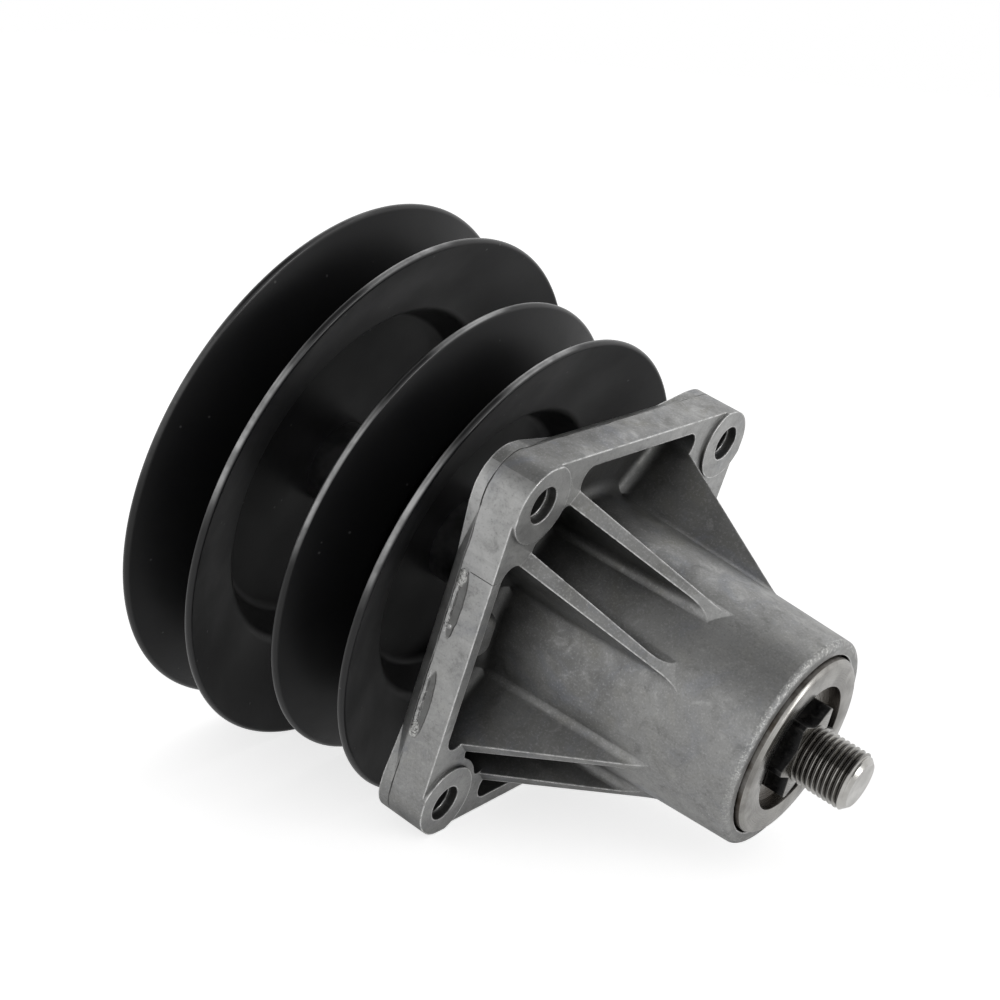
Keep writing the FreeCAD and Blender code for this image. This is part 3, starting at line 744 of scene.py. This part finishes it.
def threadMaterial():  # dull flanks over roots darkened as painted shade, with bright ends
    steel, look = steelLook, threadLook
    material, tree, shader = newMaterial("threadSteel", Metallic=1.0)
    where = objectPlace(tree)
    marks = useGroup(tree, turningMarks, Fine=look["fine"])
    xyz = split(tree, where)
    radius = diagonal(tree, xyz["X"], xyz["Y"])
    uneven = calc(tree, "MULTIPLY_ADD", noise(tree, where, *look["unevenNoise"]), look["uneven"] * mm, radius)
    up = calc(tree, "ABSOLUTE", split(tree, addNode(tree, "NewGeometry").outputs["True Normal"])["Z"])
    chamfer = calc(tree, "LESS_THAN", xyz["Z"], (shaftSizes["stubEnd"] + shaftSizes["stubChamfer"]) * mm)
    ends = most(tree, calc(tree, "GREATER_THAN", up, look["endTilt"]), chamfer)
    top = most(tree, fade(tree, uneven, *look["flank"]), ends)
    cloud = ramp(tree, marks["Cloud"], *steel["mix"])
    metal = tint(tree, cloud, steel["dull"], steel["bright"])
    metal = tint(tree, ends, metal, tint(tree, cloud, steel["bright"], steel["crest"]))
    # painted shade: the thread roots go near black
    feed(tree, shader["Base Color"], tint(tree, top, steel["root"], metal))
    feed(tree, shader["Roughness"], ramp(tree, marks["Rings"], *steel["mix"], *look["rough"]))
    feed(tree, shader["Normal"], bump(tree, marks["Rings"], look["strength"], steel["finest"]))
    return material


def ringSideShadeMaterial():  # blotchy dark brown on the ring's side: painted shade
    steel, look = steelLook, ringSideLook
    material, tree, shader = newMaterial("ringSideShade", Metallic=look["metal"])
    ringSideBlotches = noise(tree, objectPlace(tree), *look["noise"])
    feed(tree, shader["Base Color"], tint(tree, ramp(tree, ringSideBlotches, *look["mix"]), steel["brownShade"], steel["dull"]))
    feed(tree, shader["Roughness"], ramp(tree, ringSideBlotches, *steel["mix"], *look["rough"]))
    feed(tree, shader["Normal"], bump(tree, ringSideBlotches, look["strength"], look["depth"]))
    return material


def starSideShadeMaterial():  # near black flanks of the star: painted shade and dark reflection of the recess, over random scale
    steel, look = steelLook, starSideLook
    material, tree, shader = newMaterial("starSideShade", Metallic=look["metal"])
    wearAndShade = useGroup(tree, edgeWearAndShade, Reach=look["wearReach"], Break=look["wearBreak"])
    scale = noise(tree, objectPlace(tree), *look["noise"])
    color = tint(tree, ramp(tree, scale, *look["scale"]), steel["black"], steel["root"])
    color = tint(tree, times(tree, wearAndShade["Worn"], look["wornShare"]), color, steel["bright"])
    feed(tree, shader["Base Color"], color)
    feed(tree, shader["Roughness"], ramp(tree, scale, *steel["mix"], *look["rough"]))
    feed(tree, shader["Normal"], bump(tree, scale, look["strength"], steel["finest"]))
    return material


# plain metals and rubber of the CAD pieces, by material slot

plainLooks = {
    "bearing_steel": {"dark": (0.45, 0.45, 0.45, 1), "light": (0.62, 0.62, 0.62, 1), "metal": 1.0,
                      "rough": (0.16, 0.28)},
    "ball_steel": {"dark": (0.62, 0.62, 0.62, 1), "light": (0.7, 0.7, 0.7, 1), "metal": 1.0,
                   "rough": (0.05, 0.1)},
    "cage_steel": {"dark": (0.3, 0.3, 0.3, 1), "light": (0.45, 0.45, 0.45, 1), "metal": 1.0,
                   "rough": (0.3, 0.45)},
    "seal_rubber": {"dark": (0.012, 0.012, 0.012, 1), "light": (0.03, 0.03, 0.03, 1), "metal": 0.0,
                    "rough": (0.5, 0.75)},
    "tube_steel": {"dark": (0.16, 0.16, 0.165, 1), "light": (0.3, 0.3, 0.31, 1), "metal": 1.0,
                   "rough": (0.3, 0.5)},
    "nut_zinc": {"dark": (0.42, 0.42, 0.4, 1), "light": (0.6, 0.6, 0.58, 1), "metal": 1.0,
                 "rough": (0.22, 0.38)},
}
plainMarks = {"fine": 2600.0, "wearReach": 0.0005, "wearBreak": 500.0, "wornShare": 0.4, "strength": 0.1}


def plainMaterial(name, look):
    steel, s = steelLook, plainMarks
    material, tree, shader = newMaterial(name, Metallic=look["metal"])
    marks = useGroup(tree, turningMarks, Fine=s["fine"])
    wearAndShade = useGroup(tree, edgeWearAndShade, Reach=s["wearReach"], Break=s["wearBreak"])
    color = tint(tree, ramp(tree, marks["Cloud"], *steel["mix"]), look["dark"], look["light"])
    color = tint(tree, times(tree, wearAndShade["Worn"], s["wornShare"]), color, look["light"])
    feed(tree, shader["Base Color"], color)
    feed(tree, shader["Roughness"], ramp(tree, marks["Rings"], *steel["mix"], *look["rough"]))
    feed(tree, shader["Normal"], bump(tree, marks["Rings"], s["strength"], steel["finest"]))
    return material


def dress(piece, *materials):
    piece.data.materials.clear()
    for material in materials:
        piece.data.materials.append(material)


castAluminium = castMaterial()
blackPaint = paintMaterial()
turnedSteel = turnedMaterial()
threadSteel = threadMaterial()
ringSideShade = ringSideShadeMaterial()
starSideShade = starSideShadeMaterial()
plain = {slot: plainMaterial(slot, look) for slot, look in plainLooks.items()}
print("materials made")

for piece in [cad["spindle_housing"]] + scarPieces:
    dress(piece, castAluminium)
for half in pulleyHalves:
    dress(half, blackPaint)
for part in frame["record"]["subparts"]:
    if part["material_slot"] in plain:
        dress(cad[part["node"]], plain[part["material_slot"]])

s = shaftSizes
dress(shaft, turnedSteel, ringSideShade)
for face in shaft.data.polygons:  # painted shade, dark brown, round the ring's side
    outside = math.hypot(face.center.x, face.center.y) > s["ringSideStart"] * mm
    if outside and abs(face.normal.z) < s["ringSideTilt"]:
        face.material_index = 1
dress(star, starSideShade, turnedSteel)
for face in star.data.polygons:  # bright end face, sides painted near black as shade
    if face.normal.z < starSizes["endTilt"]:
        face.material_index = 1
for piece in (stub, tail):
    dress(piece, threadSteel)
joinInto(shaft, [star, stub, tail])
edit(shaft)
bpy.ops.mesh.select_all(action="SELECT")
bpy.ops.mesh.normals_make_consistent(inside=False)
smooth(shaft, s["smoothAngle"])
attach(shaft, "spindle")
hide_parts("spindle_shaft")
print("pieces dressed")


# studio

studio = {
    "camera": (-0.43373, -0.242758, -0.209699), "turn": (134.3349, 49.9125, -25.652), "lens": 73.292,
    "sensor": 36, "clip": (0.01, 50), "floorPoint": (0, 0.0762, 0.0733), "floorNormal": (0, -0.956, 0.2934),
    "floorSize": 6.0, "floorGap": 0.0003, "floorColor": (0.8, 0.8, 0.8, 1),
    "fill": 0.45, "floorGlow": 0.75, "floorGloss": 0.45,
}
lamps = {  # offsets right, up and towards the camera, in metres
    "leftBox": {"place": (-1.0, -0.2, 0.3), "size": (0.4, 0.8), "watts": 0.35},
    "topBox": {"place": (0.2, 1.0, -0.5), "size": (1.0, 0.6), "watts": 0.45},
    "rightBox": {"place": (1.0, -0.1, 0.5), "size": (0.25, 0.8), "watts": 3.0},
}
flags = {  # grey cards that only reflections see
    "overheadFlag": {"place": (0.0, 0.75, 0.4), "size": (1.3, 1.1), "glow": 0.25},
}

camData = bpy.data.cameras.new("camera")
camData.lens = studio["lens"]
camData.sensor_width = studio["sensor"]
camData.clip_start, camData.clip_end = studio["clip"]
camera = bpy.data.objects.new("camera", camData)
camera.location = studio["camera"]
camera.rotation_euler = [math.radians(a) for a in studio["turn"]]
scene.collection.objects.link(camera)
scene.camera = camera
bpy.context.view_layer.update()
middle = (cadBox[0] + cadBox[1]) / 2
axes = camera.matrix_world.to_3x3()


def setAndAim(thing, place):  # at an offset from the part's middle, facing it
    thing.location = middle + axes @ Vector(place)
    thing.rotation_euler = (middle - thing.location).to_track_quat("-Z", "Y").to_euler()


for name, lamp in lamps.items():
    data = bpy.data.lights.new(name, "AREA")
    data.shape = "RECTANGLE"
    data.size, data.size_y = lamp["size"]
    data.energy = lamp["watts"]
    light = bpy.data.objects.new(name, data)
    setAndAim(light, lamp["place"])
    scene.collection.objects.link(light)

for name, flag in flags.items():
    deselect()
    bpy.ops.mesh.primitive_plane_add(size=1)
    card = bpy.context.object
    card.name = name
    card.scale = (*flag["size"], 1)
    setAndAim(card, flag["place"])
    grey, tree, shader = newMaterial(name, **{
        "Base Color": (0, 0, 0, 1), "Roughness": 1.0, "Specular IOR Level": 0.0,
        "Emission Color": (1, 1, 1, 1), "Emission Strength": flag["glow"]})
    dress(card, grey)
    card.visible_camera = card.visible_diffuse = card.visible_shadow = card.visible_transmission = False

deselect()
bpy.ops.mesh.primitive_plane_add(size=studio["floorSize"])
floor = bpy.context.object
floor.name = "floor"
normal = Vector(studio["floorNormal"]).normalized()
floor.rotation_euler = normal.to_track_quat("Z", "Y").to_euler()
floor.location = Vector(studio["floorPoint"]) - normal * studio["floorGap"]
pale = bpy.data.materials.new("paleFloor")
pale.use_nodes = True
tree = pale.node_tree
tree.nodes.clear()
path = addNode(tree, "LightPath").outputs
seen = most(tree, path["Is Camera Ray"], path["Is Transmission Ray"])
glossy = times(tree, path["Is Glossy Ray"], studio["floorGloss"])
matt = addNode(tree, "BsdfDiffuse", {"Color": studio["floorColor"]}).outputs[0]
strength = calc(tree, "MULTIPLY_ADD", seen, studio["floorGlow"], glossy)
glow = addNode(tree, "Emission", {"Strength": strength}).outputs[0]
both = addNode(tree, "AddShader", {0: matt, 1: glow}).outputs[0]
clear = addNode(tree, "BsdfTransparent").outputs[0]
behind = addNode(tree, "NewGeometry").outputs["Backfacing"]  # seen from below, the floor is clear
shown = addNode(tree, "MixShader", {0: behind, 1: both, 2: clear}).outputs[0]
addNode(tree, "OutputMaterial", {"Surface": shown})
dress(floor, pale)

world = bpy.data.worlds.new("studio")
scene.world = world
world.use_nodes = True
tree = world.node_tree
path = addNode(tree, "LightPath").outputs
seen = most(tree, path["Is Camera Ray"], path["Is Glossy Ray"], path["Is Transmission Ray"])
sky = tree.nodes["Background"].inputs
sky["Color"].default_value = (1, 1, 1, 1)
feed(tree, sky["Strength"], ramp(tree, seen, 0.0, 1.0, studio["fill"], 1.0))
scene.view_settings.view_transform = "Standard"
print("studio set")

deselect()
